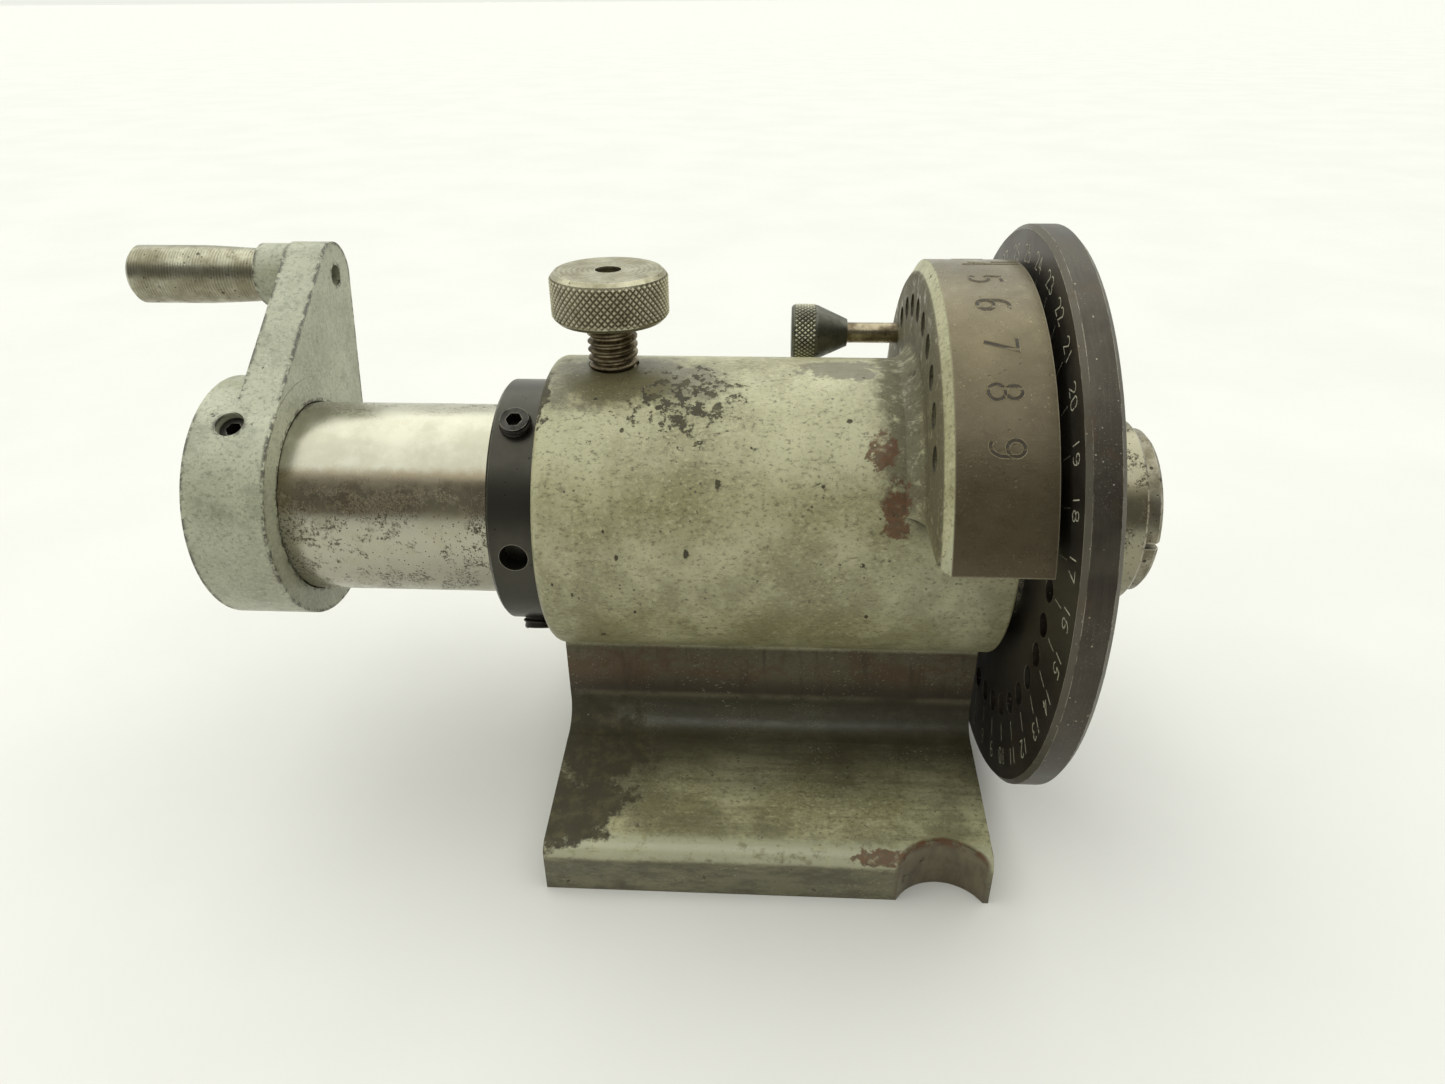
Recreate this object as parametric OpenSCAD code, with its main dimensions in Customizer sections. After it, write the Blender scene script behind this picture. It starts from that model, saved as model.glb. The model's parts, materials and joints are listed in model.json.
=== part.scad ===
// Spin index fixture: a horizontal hollow spindle with a 36-hole index plate at its nose,
// a drilled ten-hole segment on the casting, a collet closed by a draw tube, and a hand crank.
// X runs along the spindle toward its nose, Z is up, and the origin is on the underside of the base,
// below the spindle axis and halfway along the base.

/* [Base] */
// Height of the spindle axis above the underside of the base
axis_h = 70; // [68:0.5:90]
// Length of the base along the spindle
base_len = 98.5; // [96:0.5:100]
// Width of the base across the spindle
base_w = 111.8; // [100:0.2:130]
// Height of the foot's edge, before its corner is rounded
foot_edge_h = 12.3; // [10:0.1:14]
// Slope of the foot's upper face in degrees
foot_slope = 7.5; // [3:0.5:9]
// Thickness of the upright web under the barrel
web_w = 33.2; // [28:0.2:40]
// Radius of the clamp notches in the edges of the foot
notch_r = 11; // [8:0.5:12]

/* [Barrel and index segment] */
// Outer radius of the bearing barrel
barrel_r = 34.2; // [33:0.1:36]
// Radius of the segment's rim
segment_r = 56; // [54:0.5:58]
// Length of the segment along the spindle
segment_len = 20.6; // [18:0.2:24]
// Height of the segment's flat lower ends above the spindle axis
segment_drop = 13.2; // [10:0.2:20]
// Pitch radius of the index holes in the segment and the plate
pitch_r = 46; // [44:0.5:47]
// Angle between neighbouring holes of the segment in degrees
segment_step = 11; // [11]
// Angle of the segment's zero hole, from the front round over the top
zero_angle = 137; // [134:1:140]

/* [Spindle and plate] */
// Outer radius of the spindle
spindle_r = 22.5; // [22:0.1:23]
// Outer radius of the spindle nose
nose_r = 21; // [20.5:0.1:21.5]
// Outer radius of the index plate
plate_r = 63.5; // [62:0.5:66]
// Thickness of the index plate
plate_t = 7; // [6.5:0.1:8]
// Number of holes in the index plate
plate_holes = 36; // [36]

/* [Collet and draw tube] */
// Radius of the bore that grips the work
collet_bore_r = 9.525; // [3:0.005:11]
// Radius of the collet's body
collet_body_r = 15.83; // [15.8:0.01:15.85]
// Radius of the collet's head
collet_head_r = 18.85; // [18.8:0.01:18.9]
// Outer radius of the draw tube
tube_r = 17.2; // [17:0.05:17.3]

/* [Crank] */
// Distance from the spindle axis to the handle
crank_throw = 55; // [45:1:58]
// Angle of the crank, from the front round over the top
crank_angle = 124; // [0:1:359]
// Radius of the crank's hub
hub_r = 28.6; // [27:0.1:30]
// Length of the hub along the spindle
hub_len = 18.3; // [17:0.1:22]
// Thickness of the crank's arm
arm_t = 9.6; // [8:0.1:12]
// Radius of the grip
grip_r = 7; // [6:0.1:8]
// Length of the grip
grip_len = 32.3; // [28:0.1:60]

/* [Lock screw and index pin] */
// Radius of the lock knob under its knurl
lock_knob_r = 12.3; // [11:0.1:13]
// Major radius of the lock screw's thread
lock_thread_r = 5.55; // [5.55]
// Radius of the index pin
pin_r = 2.5; // [2.3:0.05:2.6]
// Radius of the pin knob under its knurl
pin_knob_r = 6.7; // [6:0.1:7]

/* [Hidden] */
$fn = 96;
past = 1;            // how far a cut runs past the face it opens
fit = 0.03;          // radial clearance of a running fit
snug = 0.01;         // radial clearance between pieces fixed to each other

// Stations along the spindle
rear_x = -50.5;                              // rear end of the barrel
front_x = 51;                                // front face of the barrel and the segment
segment_x = front_x - segment_len;           // drilled rear face of the segment
plate_x = 53.2;                              // rear face of the plate
plate_end_x = plate_x + plate_t;
recess_x = 44;                               // floor of the casting's front counterbore
flange_x = 45;                               // rear face of the spindle's flange
nose_x = 80.3;                               // front end of the spindle
tail_x = -114.6;                             // rear end of the spindle
head_x = 84.2;                               // front face of the collet
hub_x1 = -109.4;                             // front face of the crank hub
hub_x0 = hub_x1 - hub_len;
arm_x0 = hub_x1 - arm_t;

// Radii inside the spindle
flange_r = 29.5;
recess_r = 29.9;
tube_bore_r = tube_r + fit;
collet_rear_x = head_x - 82.5;               // a collet of this size is 82.5 long
tube_end_x = collet_rear_x + 15;
taper = 10;                                  // half angle of the collet's cone in degrees
cone_len = (collet_head_r - collet_body_r) / tan(taper);
cone_x = nose_x - 0.7 - cone_len;            // rear end of the cone

// Plate fastenings
screw_ring_r = 25.4;
screw_angles = [45, 135, 225, 315];
dowel_angles = [0, 180];
m4_r = 2;
m4_head_r = 3.5;
m4_head_h = 4;
dowel_r = 1.5;

// Collar
collar_x0 = -61.3;
collar_x1 = rear_x - 0.1;
collar_r = 28.5;
collar_mid_x = -55.7;
set_r = 3.15;                                // radius of the set screws
collar_screw_angles = [60, 180, 300];
collar_hole_angles = [0, 120, 240];
set_out_r = 31;                              // outer ends of the collar's set screws

// Crank
hub_screw_x = -119.1;
hub_screw_angle = 59;
hub_pocket_x = tail_x - 1.3;                 // floor of the pocket that takes the spindle tail
tip_r = 8;
boss_x0 = -126.7;
grip_x1 = boss_x0 - 0.4;
grip_x0 = grip_x1 - grip_len;
grip_bore_r = 3.3;
shoulder_r = grip_bore_r - fit;
grip_head_r = 4.6;
grip_head_h = 3.5;

// Lock screw
lock_x = -36;
lock_pitch = 1.814;
lock_core_r = lock_thread_r - 0.65 * lock_pitch * 0.75;
lock_knob_z0 = axis_h + 44.4;
lock_knob_z1 = axis_h + 54.9;
lock_end_z = axis_h + 26.6;                  // lower end of the screw
pad_r = 4.9;

// Index pin
pin_y = -pitch_r * cos(zero_angle);
pin_z = axis_h + pitch_r * sin(zero_angle);
pin_knob_x0 = 3.9;
pin_skirt_x = 10.3;                          // where the knurl ends and the conical skirt starts
pin_knob_x1 = 17.8;
pin_tip_x = 47;
pin_hole_r = pin_r + 0.08;

// A cylinder along X, on the spindle axis unless it is moved
module bar_x(x0, x1, r) {
    translate([x0, 0, axis_h]) rotate([0, 90, 0]) cylinder(h = x1 - x0, r = r);
}

// Revolves an outline of [x, radius] points about the spindle axis
module turned(outline) {
    translate([0, 0, axis_h])
        rotate([0, 90, 0])
            rotate_extrude()
                polygon([for (p = outline) [p[1], p[0]]]);
}

// Children drawn along +Z are laid along the spindle's radius at an angle from the front over the top
module radial(x, angle) {
    translate([x, 0, axis_h]) rotate([90 - angle, 0, 0]) children();
}

// Children drawn on the spindle axis are moved out to a pitch radius at an angle
module orbit(radius, angle) {
    translate([0, -radius * cos(angle), radius * sin(angle)]) children();
}

// A socket set screw that stands on z = z0 and ends at z = z1, with a hexagon socket in its outer end
module set_screw(z0, z1) {
    socket_r = 1.85;
    socket_depth = 3;
    difference() {
        translate([0, 0, z0]) cylinder(h = z1 - z0, r = set_r);
        translate([0, 0, z1 - socket_depth]) cylinder(h = socket_depth + past, r = socket_r, $fn = 6);
    }
}

// Half of the foot and web section, with y to the side and z up
module half_section() {
    s = foot_slope;
    hw = base_w / 2;
    ww = web_w / 2;
    root_r = 6.5;
    sink = 0.1;          // the root's circle cuts a little into both faces it blends
    edge_r = 3;
    root_y = ww + root_r;
    root_z = foot_edge_h + (hw - root_y) * tan(s) + root_r / cos(s);
    meet_z = foot_edge_h + (hw - ww) * tan(s);
    edge_y = hw - edge_r;
    edge_z = foot_edge_h + edge_r * tan(s) - edge_r / cos(s);
    difference() {
        union() {
            polygon([[0, 0], [hw, 0], [hw, foot_edge_h], [ww, meet_z], [0, meet_z]]);
            square([ww, axis_h]);
            polygon([[ww - past, meet_z - past], [ww - past, root_z], [root_y, root_z],
                     [root_y - root_r * sin(s), root_z - root_r * cos(s)]]);
        }
        translate([root_y - sink, root_z - sink]) circle(root_r);
        difference() {
            polygon([[edge_y, edge_z], [hw + past, edge_z], [hw + past, foot_edge_h + past],
                     [edge_y + edge_r * sin(s), foot_edge_h + past],
                     [edge_y + edge_r * sin(s), edge_z + edge_r * cos(s)]]);
            translate([edge_y, edge_z]) circle(edge_r);
        }
    }
}

module foot_and_web() {
    translate([-base_len / 2, 0, 0])
        rotate([90, 0, 90])
            linear_extrude(base_len) {
                half_section();
                mirror([1, 0]) half_section();
            }
}

// Outline of a bar of radius r from x0 to x1 whose two outer edges are rounded
module round_bar_outline(x0, x1, r, round0, round1) {
    translate([0, x0 + round0]) square([r, x1 - x0 - round0 - round1]);
    translate([0, x0]) square([r - round0, round0]);
    translate([0, x1 - round1]) square([r - round1, round1]);
    translate([r - round0, x0 + round0]) circle(round0);
    translate([r - round1, x1 - round1]) circle(round1);
}

module barrel() {
    translate([0, 0, axis_h])
        rotate([0, 90, 0])
            rotate_extrude()
                intersection() {
                    round_bar_outline(rear_x, front_x, barrel_r, 2.6, 0.8);
                    translate([0, rear_x]) square([barrel_r, front_x - rear_x]);
                }
}

// The segment stands on the upper part of the barrel, with a rounded root where it meets it
module segment() {
    root_r = 5;
    sink = 0.15;         // the root's circle cuts a little into both faces it blends
    chamfer_x = 2;
    chamfer_r = 3.2;
    intersection() {
        union() {
            turned([[segment_x, 0], [segment_x, segment_r - chamfer_r], [segment_x + chamfer_x, segment_r],
                    [front_x, segment_r], [front_x, 0]]);
            translate([0, 0, axis_h])
                rotate([0, 90, 0])
                    rotate_extrude()
                        difference() {
                            translate([barrel_r - past, segment_x - root_r])
                                square([root_r + past, root_r + past]);
                            translate([barrel_r + root_r - sink, segment_x - root_r + sink])
                                circle(root_r);
                        }
        }
        translate([rear_x, -segment_r - past, axis_h + segment_drop])
            cube([front_x - rear_x, 2 * (segment_r + past), segment_r]);
    }
}

module clamp_notch(side) {
    translate([side * 38.5, -side * (base_w / 2 + 5.5), -past])
        cylinder(h = foot_edge_h + 10, r = notch_r);
}

module body_casting() {
    color([0.47, 0.50, 0.42])
    difference() {
        union() {
            foot_and_web();
            barrel();
            segment();
        }
        bar_x(rear_x - past, front_x + past, spindle_r + fit);
        bar_x(recess_x, front_x + past, recess_r);
        for (side = [1, -1]) clamp_notch(side);
        for (k = [0 : 9])
            orbit(pitch_r, zero_angle - k * segment_step)
                bar_x(segment_x - past, front_x + past, pin_hole_r);
        translate([lock_x, 0, axis_h]) cylinder(h = barrel_r + past, r = lock_thread_r + 0.05);
    }
}

module spindle() {
    edge = 0.6;
    color([0.66, 0.65, 0.62])
    difference() {
        turned([[tail_x, tube_bore_r], [tail_x, spindle_r - edge], [tail_x + edge, spindle_r],
                [flange_x, spindle_r], [flange_x, flange_r], [plate_x, flange_r], [plate_x, nose_r],
                [nose_x - edge, nose_r], [nose_x, nose_r - edge],
                [nose_x, collet_head_r + 0.1],
                [cone_x + cone_len, collet_head_r + 0.1],
                [cone_x, collet_body_r + 0.04], [tube_end_x + 3, collet_body_r + 0.04],
                [tube_end_x + 3, tube_bore_r]]);
        for (a = screw_angles)
            orbit(screw_ring_r, a) bar_x(plate_x - 7, plate_x + past, m4_r + snug);
        for (a = dowel_angles)
            orbit(screw_ring_r, a) bar_x(plate_x - 6, plate_x + past, dowel_r + snug);
        radial(30, 270) translate([0, 0, 14]) cylinder(h = 12, r = 1.6 + snug);
    }
}

module index_plate() {
    edge = 1;
    color([0.16, 0.16, 0.17])
    difference() {
        turned([[plate_x, nose_r + snug], [plate_x, plate_r - edge], [plate_x + edge, plate_r],
                [plate_end_x - edge, plate_r], [plate_end_x, plate_r - edge],
                [plate_end_x, nose_r + snug]]);
        for (k = [0 : plate_holes - 1])
            orbit(pitch_r, zero_angle + k * 360 / plate_holes)
                bar_x(plate_x - past, plate_end_x + past, pin_hole_r);
        for (a = screw_angles)
            orbit(screw_ring_r, a) {
                bar_x(plate_x - past, plate_end_x, m4_r + 0.2);
                bar_x(plate_end_x - m4_head_h - 0.2, plate_end_x + past, m4_head_r + 0.15);
            }
        for (a = dowel_angles)
            orbit(screw_ring_r, a) bar_x(plate_x - past, plate_end_x + past, dowel_r + snug);
    }
}

module plate_screws() {
    seat_x = plate_end_x - m4_head_h - 0.2;
    color([0.12, 0.12, 0.13])
    for (a = screw_angles)
        orbit(screw_ring_r, a)
            difference() {
                union() {
                    bar_x(plate_x - 6.5, seat_x + 0.5, m4_r);
                    bar_x(seat_x, seat_x + m4_head_h, m4_head_r);
                }
                translate([seat_x + 2, 0, axis_h])
                    rotate([0, 90, 0]) cylinder(h = m4_head_h, r = 1.7, $fn = 6);
            }
}

module plate_dowels() {
    color([0.6, 0.6, 0.6])
    for (a = dowel_angles)
        orbit(screw_ring_r, a) bar_x(plate_x - 5.8, plate_end_x - 0.3, dowel_r);
}

module thrust_washer() {
    color([0.70, 0.52, 0.28])
    turned([[recess_x + 0.05, spindle_r + 0.3], [recess_x + 0.05, flange_r - 0.3],
            [flange_x - 0.02, flange_r - 0.3], [flange_x - 0.02, spindle_r + 0.3]]);
}

module end_play_collar() {
    edge = 0.6;
    color([0.13, 0.13, 0.14])
    difference() {
        turned([[collar_x0, spindle_r + snug], [collar_x0, collar_r - edge], [collar_x0 + edge, collar_r],
                [collar_x1 - edge, collar_r], [collar_x1, collar_r - edge],
                [collar_x1, spindle_r + snug]]);
        for (a = collar_screw_angles)
            radial(collar_mid_x, a) translate([0, 0, spindle_r - 5]) cylinder(h = 20, r = set_r + snug);
        for (a = collar_hole_angles)
            radial(collar_mid_x, a) translate([0, 0, spindle_r + 1]) cylinder(h = 20, r = set_r);
    }
}

module collar_set_screws() {
    color([0.10, 0.10, 0.11])
    for (a = collar_screw_angles)
        radial(collar_mid_x, a) set_screw(spindle_r + 0.05, set_out_r);
}

module collet() {
    slot_w = 1.4;
    slot_len = 60;
    slot_angles = [1.5, 121.5, 241.5];
    color([0.55, 0.55, 0.54])
    difference() {
        turned([[collet_rear_x, 13.2], [collet_rear_x, collet_body_r - 0.5],
                [tube_end_x + 1, collet_body_r - 0.5], [tube_end_x + 1, collet_body_r],
                [cone_x, collet_body_r], [cone_x + cone_len, collet_head_r],
                [head_x - 0.9, collet_head_r], [head_x, collet_head_r - 0.9],
                [head_x, collet_bore_r], [head_x - 25, collet_bore_r],
                [head_x - 30, 13.2]]);
        for (a = slot_angles)
            radial(head_x - slot_len, a)
                translate([0, -slot_w / 2, 5]) cube([slot_len + past, slot_w, collet_head_r]);
        radial(22, 270) translate([0, -1.75, collet_body_r - 1.9]) cube([38, 3.5, 5]);
    }
}

module collet_key() {
    color([0.45, 0.45, 0.45])
    radial(30, 270) translate([0, 0, collet_body_r - 1.6]) cylinder(h = 7.9, r = 1.6);
}

module draw_tube() {
    wall_r = 14.4;
    color([0.50, 0.50, 0.49])
    turned([[hub_x0 + 0.3, wall_r], [hub_x0 + 0.3, tube_r], [tube_end_x, tube_r],
            [tube_end_x, collet_body_r - 0.45], [collet_rear_x - 2, collet_body_r - 0.45],
            [collet_rear_x - 2, wall_r]]);
}

module draw_washer() {
    color([0.70, 0.52, 0.28])
    turned([[hub_pocket_x + 0.05, tube_r + 0.2], [hub_pocket_x + 0.05, spindle_r - 0.6],
            [tail_x - 0.1, spindle_r - 0.6], [tail_x - 0.1, tube_r + 0.2]]);
}

// Flat outline of the arm: its straight sides run from the hub, just inside its skin, to the tip's circle
module arm_outline() {
    root_r = hub_r - 0.25;
    side_r = tip_r - 0.05;
    spread = acos((root_r - side_r) / crank_throw);
    polygon([for (side = [1, -1]) [root_r * cos(side * spread), root_r * sin(side * spread)],
             for (side = [-1, 1]) [crank_throw + side_r * cos(side * spread), side_r * sin(side * spread)]]);
    translate([crank_throw, 0]) circle(tip_r);
}

module crank_arm() {
    stud_r = 2.5;
    face_step = 0.1;     // the arm's front face lies this far behind the hub's
    color([0.60, 0.63, 0.55])
    difference() {
        union() {
            bar_x(hub_x0, hub_x1, hub_r);
            translate([arm_x0, 0, axis_h])
                rotate([180 - crank_angle, 0, 0])
                    rotate([90, 0, 90])
                        linear_extrude(arm_t - face_step) arm_outline();
            orbit(crank_throw, crank_angle) bar_x(boss_x0, arm_x0 + past, tip_r - 0.4);
        }
        bar_x(hub_pocket_x, hub_x1 + past, spindle_r + 0.25);
        bar_x(hub_x0 - past, hub_x1, tube_r + snug);
        radial(hub_screw_x, hub_screw_angle) cylinder(h = hub_r + past, r = set_r + snug);
        orbit(crank_throw, crank_angle) bar_x(boss_x0 - past, hub_x1 + past, stud_r + snug);
    }
}

module crank_set_screw() {
    color([0.10, 0.10, 0.11])
    radial(hub_screw_x, hub_screw_angle) set_screw(tube_r + 0.05, hub_r - 2);
}

module handle_grip() {
    neck_r = grip_r - 0.7;
    edge = 1;
    color([0.62, 0.61, 0.59])
    orbit(crank_throw, crank_angle)
        turned([[grip_x0, grip_head_r + 0.2], [grip_x0, grip_r - edge], [grip_x0 + edge, grip_r],
                [grip_x1 - 14, grip_r], [grip_x1, neck_r],
                [grip_x1, grip_bore_r], [grip_x0 + grip_head_h + 0.5, grip_bore_r],
                [grip_x0 + grip_head_h + 0.5, grip_head_r + 0.2]]);
}

module handle_screw() {
    color([0.35, 0.35, 0.35])
    orbit(crank_throw, crank_angle)
        difference() {
            turned([[grip_x0 + 0.3, 0], [grip_x0 + 0.3, grip_head_r],
                    [grip_x0 + 0.3 + grip_head_h, grip_head_r], [grip_x0 + 0.3 + grip_head_h, shoulder_r],
                    [boss_x0 - 0.05, shoulder_r], [boss_x0 - 0.05, 2.5], [hub_x1 - 4, 2.5],
                    [hub_x1 - 4, 0]]);
            translate([grip_x0 - past, 0, axis_h])
                rotate([0, 90, 0]) cylinder(h = past + 2.4, r = 2.3, $fn = 6);
        }
}

module lock_knob() {
    edge = 0.8;
    hole_r = 2.85;
    color([0.50, 0.50, 0.49])
    translate([lock_x, 0, 0])
        rotate_extrude()
            polygon([[lock_core_r + snug, lock_knob_z0], [lock_knob_r - edge, lock_knob_z0],
                     [lock_knob_r, lock_knob_z0 + edge], [lock_knob_r, lock_knob_z1 - edge],
                     [lock_knob_r - edge, lock_knob_z1], [hole_r, lock_knob_z1],
                     [hole_r, lock_knob_z1 - 3], [lock_core_r + snug, lock_knob_z1 - 3]]);
}

module lock_screw() {
    color([0.38, 0.36, 0.34])
    translate([lock_x, 0, lock_end_z])
        cylinder(h = lock_knob_z1 - 3.05 - lock_end_z, r = lock_core_r);
}

module lock_pad() {
    color([0.72, 0.55, 0.25])
    difference() {
        translate([lock_x, 0, axis_h]) cylinder(h = lock_end_z - axis_h - 0.02, r = pad_r);
        bar_x(lock_x - pad_r - past, lock_x + pad_r + past, spindle_r + 0.05);
    }
}

module index_pin_knob() {
    skirt_r = 3.35;
    edge = 0.5;
    color([0.14, 0.14, 0.14])
    translate([0, pin_y, pin_z - axis_h])
        turned([[pin_knob_x0, 0], [pin_knob_x0, pin_knob_r - edge], [pin_knob_x0 + edge, pin_knob_r],
                [pin_skirt_x, pin_knob_r], [pin_knob_x1, skirt_r], [pin_knob_x1, pin_r + snug],
                [pin_knob_x0 + 3, pin_r + snug], [pin_knob_x0 + 3, 0]]);
}

module index_pin_rod() {
    tip = 1;
    color([0.45, 0.41, 0.36])
    translate([0, pin_y, pin_z - axis_h])
        turned([[pin_knob_x0 + 3.05, 0], [pin_knob_x0 + 3.05, pin_r], [pin_tip_x - tip, pin_r],
                [pin_tip_x, pin_r - 0.6], [pin_tip_x, 0]]);
}

body_casting();
spindle();
index_plate();
plate_screws();
plate_dowels();
thrust_washer();
end_play_collar();
collar_set_screws();
collet();
collet_key();
draw_tube();
draw_washer();
crank_arm();
crank_set_screw();
handle_grip();
handle_screw();
lock_knob();
lock_screw();
lock_pad();
index_pin_knob();
index_pin_rod();
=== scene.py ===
import json
import math
import random

import bpy
from mathutils import Matrix, Vector

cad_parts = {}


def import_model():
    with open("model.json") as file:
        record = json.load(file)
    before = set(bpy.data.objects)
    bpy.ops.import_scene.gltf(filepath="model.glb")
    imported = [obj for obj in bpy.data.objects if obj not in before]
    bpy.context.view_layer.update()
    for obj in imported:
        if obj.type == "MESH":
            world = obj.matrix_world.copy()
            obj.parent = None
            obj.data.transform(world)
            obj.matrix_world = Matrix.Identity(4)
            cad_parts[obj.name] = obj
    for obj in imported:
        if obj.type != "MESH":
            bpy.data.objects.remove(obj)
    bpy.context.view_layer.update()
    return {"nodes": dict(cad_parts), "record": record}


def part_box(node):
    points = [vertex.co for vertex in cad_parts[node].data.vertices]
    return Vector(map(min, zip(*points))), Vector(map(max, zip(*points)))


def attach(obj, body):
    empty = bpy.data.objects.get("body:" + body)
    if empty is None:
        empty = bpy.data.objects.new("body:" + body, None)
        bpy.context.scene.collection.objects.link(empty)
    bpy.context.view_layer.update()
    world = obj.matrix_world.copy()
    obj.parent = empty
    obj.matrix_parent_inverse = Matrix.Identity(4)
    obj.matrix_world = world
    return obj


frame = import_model()
random.seed(11)

MM = 0.001
PLATE_LOW, PLATE_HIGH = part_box("index_plate")
AXIS = (PLATE_LOW.z + PLATE_HIGH.z) / 2 / MM     # height of the spindle axis, mm
CAST_LOW, CAST_HIGH = (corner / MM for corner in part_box("body_casting"))
KNOB_LOW, KNOB_HIGH = (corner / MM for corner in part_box("lock_knob"))
SCREW_LOW, SCREW_HIGH = (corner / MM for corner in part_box("lock_screw"))
PIN_KNOB_LOW, PIN_KNOB_HIGH = (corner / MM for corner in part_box("index_pin_knob"))
SET_LOW, SET_HIGH = (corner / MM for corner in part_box("collar_set_screws"))
COLLAR_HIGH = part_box("end_play_collar")[1] / MM

SEGMENT_R = CAST_HIGH.z - AXIS                   # radius of the segment's rim
SEGMENT_X = CAST_HIGH.x - 20.6                   # drilled rear face of the segment
SEGMENT_STEP = 11                                # degrees between the segment's holes
RIM_X = SEGMENT_X + 2                            # where the rim starts past its chamfer
BARREL_R = 34.2
BORE_R = 30                                      # bearing bore of the casting
NOTCH_R = 11                                     # radius of the clamp notches in the foot
NOTCH_X = 38.5                                   # how far the notches lie from the middle of the base
PLATE_X = PLATE_LOW.x / MM
PLATE_R = (PLATE_HIGH.z - PLATE_LOW.z) / 2 / MM
PLATE_HOLES = 36
PLATE_STEP = 360 / PLATE_HOLES                   # degrees between the plate's holes
ZERO_ANGLE = 137                                 # the segment's first hole, from the front over the top
NINETEEN_ANGLE = 37                              # the plate's number 19, in the same way
HUB_R = 28.6                                     # radius of the crank's hub
CRANK_ANGLE = 124                                # angle of the crank's arm
LOCK_X = (KNOB_LOW.x + KNOB_HIGH.x) / 2
LOCK_PITCH = 1.814                               # 14 threads per inch
KNOB_R = (KNOB_HIGH.x - KNOB_LOW.x) / 2
KNOB_CREST = 0.5                                 # height of the lock knob's diamond points
PIN_KNOB_R = (PIN_KNOB_HIGH.z - PIN_KNOB_LOW.z) / 2
PIN_CREST = 0.36

# heights on the casting, above the spindle axis
RIM_LOW_H = 12.5                                 # lower end of the segment's rim
WEB_H = -20                                      # where the web leaves the barrel
ROOT_H = -44                                     # where the web turns into the foot
EDGE_H = -60                                     # top of the foot's front face

# x, angle about the axis and size of the larger chips in the barrel's paint
BARREL_CHIPS = [(-11.4, 33, 0.9), (-17.8, 8.4, 0.8), (-32.4, 6.5, 0.5), (15.4, 57, 0.7),
                (20.3, -17.5, 0.5), (-35, 16, 0.4), (-42.4, -9.5, 0.4), (-31.7, 52, 0.6),
                (-46.4, -5, 0.35), (-29.3, -17.8, 0.4)]


# ---------- node trees ----------

def rgb(red, green, blue):
    """A display colour from 0 to 255 as the linear colour that a shader takes"""
    def linear(value):
        share = value / 255
        return share / 12.92 if share <= 0.04045 else ((share + 0.055) / 1.055) ** 2.4
    return (linear(red), linear(green), linear(blue), 1.0)


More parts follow.
